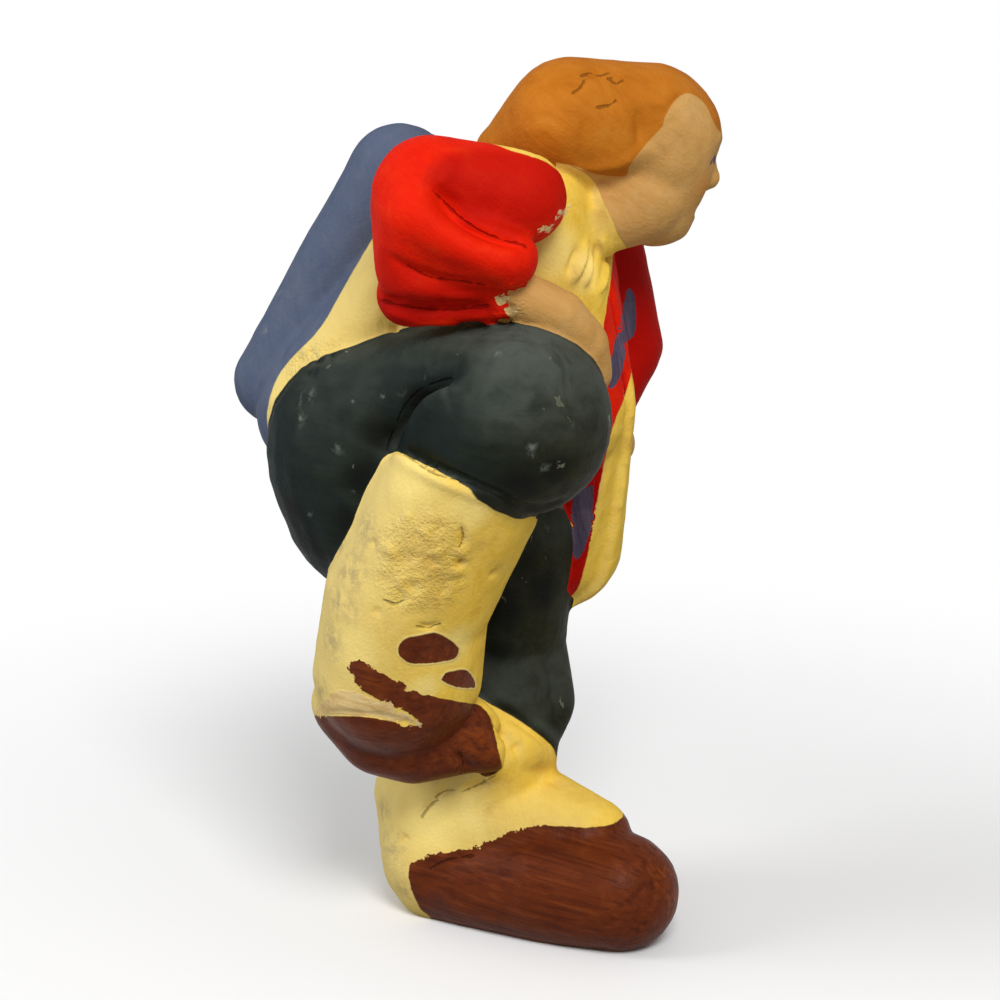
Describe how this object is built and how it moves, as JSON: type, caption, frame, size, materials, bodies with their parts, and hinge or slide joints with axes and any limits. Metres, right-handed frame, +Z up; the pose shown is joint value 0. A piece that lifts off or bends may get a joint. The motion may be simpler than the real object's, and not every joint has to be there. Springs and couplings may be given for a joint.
{
  "type": "figurine",
  "caption": "Hand-modelled painted clay figurine of a walking man with a pack on his back, standing on one foot with the other knee raised.",
  "frame": {"origin": "on the ground under the middle of the standing foot's flat sole", "axes": "+X the way he walks, +Y his left, +Z up"},
  "size_m": [0.0648, 0.0552, 0.1156],
  "materials": {
    "painted_clay": "fired clay under matt brushed paint: yellow, red, dark green, grey blue, brown, flesh and orange brown"
  },
  "bodies": {
    "root": {"figurine": "painted_clay"}
  },
  "joints": []
}
